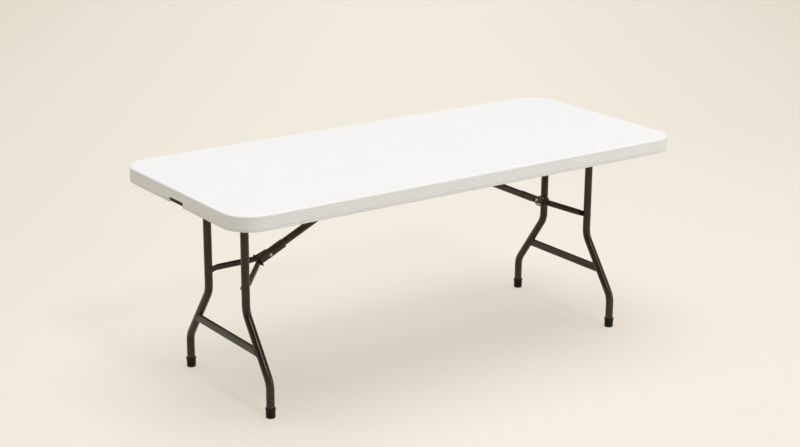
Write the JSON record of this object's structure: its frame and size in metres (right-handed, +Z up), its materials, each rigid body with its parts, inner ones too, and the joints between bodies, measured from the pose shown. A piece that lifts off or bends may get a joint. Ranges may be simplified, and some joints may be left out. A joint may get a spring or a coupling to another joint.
{
  "type": "banquet table",
  "caption": "Rectangular folding banquet table: white moulded top with rounded corners and a grooved skirt on dark tubular wishbone legs with folding locking braces.",
  "frame": {"origin": "on the floor under the middle of the top", "axes": "+X along the length, +Y across the width towards the back, +Z up"},
  "size_m": [1.829, 0.8, 0.737],
  "materials": {
    "white_top": "satin moulded polyethylene",
    "dark_steel": "satin dark brown powder coat",
    "zinc_steel": "zinc plated",
    "black_plastic": "matt",
    "nylon": "matt"
  },
  "bodies": {
    "top": {"top_shell": "white_top", "underside_pan": "white_top", "front_side_rail": "dark_steel", "back_side_rail": "dark_steel", "left_end_rail": "dark_steel", "right_end_rail": "dark_steel", "rail_screws": "zinc_steel", "bracket_screws": "zinc_steel", "anchor_screws": "zinc_steel", "left_front_pivot_bracket": "dark_steel", "left_front_pivot_bush": "nylon", "left_back_pivot_bracket": "dark_steel", "left_back_pivot_bush": "nylon", "left_brace_anchor": "dark_steel", "left_anchor_pin": "zinc_steel", "right_front_pivot_bracket": "dark_steel", "right_front_pivot_bush": "nylon", "right_back_pivot_bracket": "dark_steel", "right_back_pivot_bush": "nylon", "right_brace_anchor": "dark_steel", "right_anchor_pin": "zinc_steel"},
    "left_leg_set": {"left_pivot_tube": "dark_steel", "left_pivot_plugs": "black_plastic", "left_front_leg": "dark_steel", "left_back_leg": "dark_steel", "left_stretcher": "dark_steel", "left_front_foot_cap": "black_plastic", "left_back_foot_cap": "black_plastic", "left_leg_rivets": "dark_steel"},
    "left_brace": {"left_brace_tube": "dark_steel", "left_knee_sleeve": "dark_steel", "left_knee_spacer": "zinc_steel", "left_knee_rivet": "zinc_steel"},
    "left_yoke": {"left_front_arm": "dark_steel", "left_back_arm": "dark_steel", "left_arm_studs": "dark_steel"},
    "left_lock": {"left_lock_ring": "dark_steel"},
    "right_leg_set": {"right_pivot_tube": "dark_steel", "right_pivot_plugs": "black_plastic", "right_front_leg": "dark_steel", "right_back_leg": "dark_steel", "right_stretcher": "dark_steel", "right_front_foot_cap": "black_plastic", "right_back_foot_cap": "black_plastic", "right_leg_rivets": "dark_steel"},
    "right_brace": {"right_brace_tube": "dark_steel", "right_knee_sleeve": "dark_steel", "right_knee_spacer": "zinc_steel", "right_knee_rivet": "zinc_steel"},
    "right_yoke": {"right_front_arm": "dark_steel", "right_back_arm": "dark_steel", "right_arm_studs": "dark_steel"},
    "right_lock": {"right_lock_ring": "dark_steel"}
  },
  "joints": [
    {"name": "left_leg_fold", "type": "hinge", "parent": "top", "child": "left_leg_set", "pos_m": [-0.7365, 0, 0.679], "axis": [0, -1, 0], "range_deg": [0, 90]},
    {"name": "left_brace_swing", "type": "hinge", "parent": "top", "child": "left_brace", "pos_m": [-0.072, 0, 0.695], "axis": [0, -1, 0], "range_deg": [-25.08, 0]},
    {"name": "left_knee_bend", "type": "hinge", "parent": "left_brace", "child": "left_yoke", "pos_m": [-0.57573, 0, 0.45934], "axis": [0, -1, 0], "range_deg": [0, 179.47]},
    {"name": "left_lock_slide", "type": "slide", "parent": "left_brace", "child": "left_lock", "axis": [0.9058, 0, 0.4238], "range_m": [0, 0.3601]},
    {"name": "right_leg_fold", "type": "hinge", "parent": "top", "child": "right_leg_set", "pos_m": [0.7365, 0, 0.679], "axis": [0, 1, 0], "range_deg": [0, 90]},
    {"name": "right_brace_swing", "type": "hinge", "parent": "top", "child": "right_brace", "pos_m": [0.072, 0, 0.695], "axis": [0, 1, 0], "range_deg": [-25.08, 0]},
    {"name": "right_knee_bend", "type": "hinge", "parent": "right_brace", "child": "right_yoke", "pos_m": [0.57573, 0, 0.45934], "axis": [0, 1, 0], "range_deg": [0, 179.47]},
    {"name": "right_lock_slide", "type": "slide", "parent": "right_brace", "child": "right_lock", "axis": [-0.9058, 0, 0.4238], "range_m": [0, 0.3601]}
  ],
  "couplings": [
    {"joint": "left_brace_swing", "follows": "left_leg_fold", "ratio": -0.27858},
    {"joint": "left_knee_bend", "follows": "left_leg_fold", "ratio": 1.994},
    {"joint": "left_lock_slide", "follows": "left_leg_fold", "m_per_rad": 0.22918},
    {"joint": "right_brace_swing", "follows": "right_leg_fold", "ratio": -0.27858},
    {"joint": "right_knee_bend", "follows": "right_leg_fold", "ratio": 1.994},
    {"joint": "right_lock_slide", "follows": "right_leg_fold", "m_per_rad": 0.22918}
  ]
}
